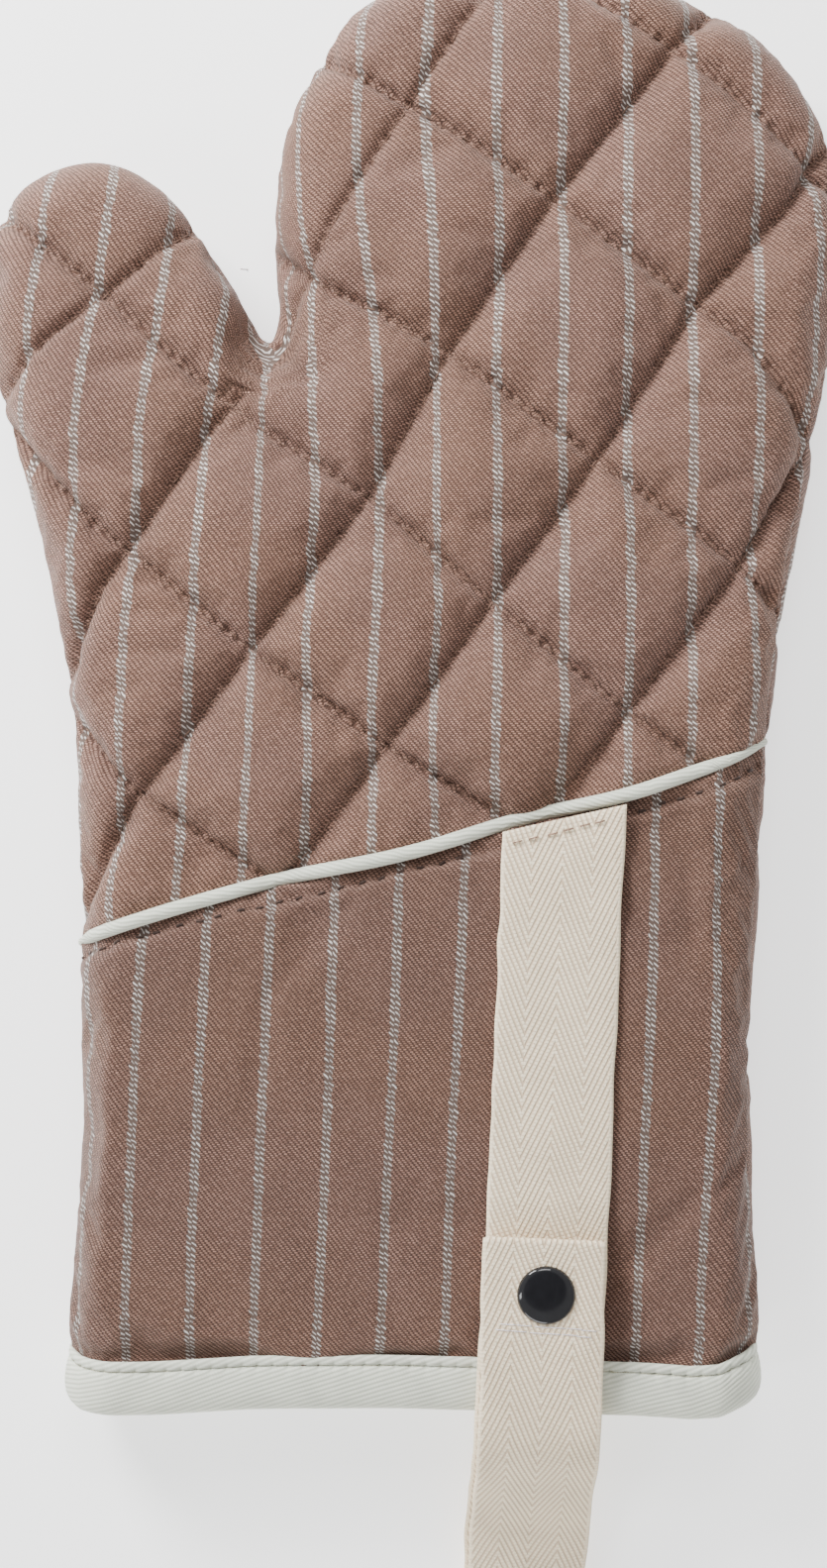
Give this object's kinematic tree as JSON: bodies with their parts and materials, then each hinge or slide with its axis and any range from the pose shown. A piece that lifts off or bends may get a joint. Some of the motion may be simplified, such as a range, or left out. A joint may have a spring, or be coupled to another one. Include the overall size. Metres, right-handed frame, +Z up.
{
  "type": "oven mitt",
  "caption": "Quilted thumb-and-palm oven mitt with a plain cuff panel, slanted piping, bound hem and a tape hanging loop closed by a snap.",
  "frame": {"origin": "on the flat underside, at the middle of the hem line of the cuff's mouth", "axes": "+X to the right across the mitt seen from above, +Y from the hem to the fingertips, +Z up out of the decorated front; the mitt lies on its back"},
  "size_m": [0.1803, 0.3791, 0.0342],
  "materials": {
    "striped_fabric": "brown twill with pale herringbone pinstripes, quilted",
    "cuff_fabric": "brown twill with pale herringbone pinstripes, plain",
    "wadding": "fibre wadding",
    "lining": "plain cotton",
    "quilting_thread": "sewing thread",
    "mint_twill": "pale mint twill cut on the bias",
    "cord": "cotton cord",
    "brown_thread": "sewing thread",
    "light_thread": "sewing thread",
    "tape": "herringbone cotton tape",
    "snap_metal": "plated metal",
    "snap_enamel": "glossy black"
  },
  "bodies": {
    "mitt": {"front_outer_fabric": "striped_fabric", "cuff_panel": "cuff_fabric", "front_wadding": "wadding", "front_lining": "lining", "back_outer_fabric": "striped_fabric", "back_wadding": "wadding", "back_lining": "lining", "front_quilting_thread": "quilting_thread", "back_quilting_thread": "quilting_thread", "piping_cover": "mint_twill", "piping_cord": "cord", "piping_topstitch": "brown_thread", "hem_binding": "mint_twill", "hem_stitch": "light_thread", "strap_root": "tape", "strap_anchor_stitch": "brown_thread"},
    "strap": {"strap_run": "tape", "snap_post": "snap_metal", "snap_stud": "snap_metal"},
    "strap_tip": {"strap_end": "tape", "strap_end_stitch": "light_thread", "snap_cap": "snap_enamel", "snap_socket": "snap_metal"}
  },
  "joints": [
    {"name": "strap_lift", "type": "hinge", "parent": "mitt", "child": "strap", "pos_m": [0.03135, 0.12285, 0.0283], "axis": [-0.9664, -0.2571, 0], "range_deg": [0, 150]},
    {"name": "snap_open", "type": "hinge", "parent": "strap", "child": "strap_tip", "pos_m": [0.02319, -0.07194, 0.0054], "axis": [0.9991, -0.0419, 0], "range_deg": [0, 150]}
  ]
}
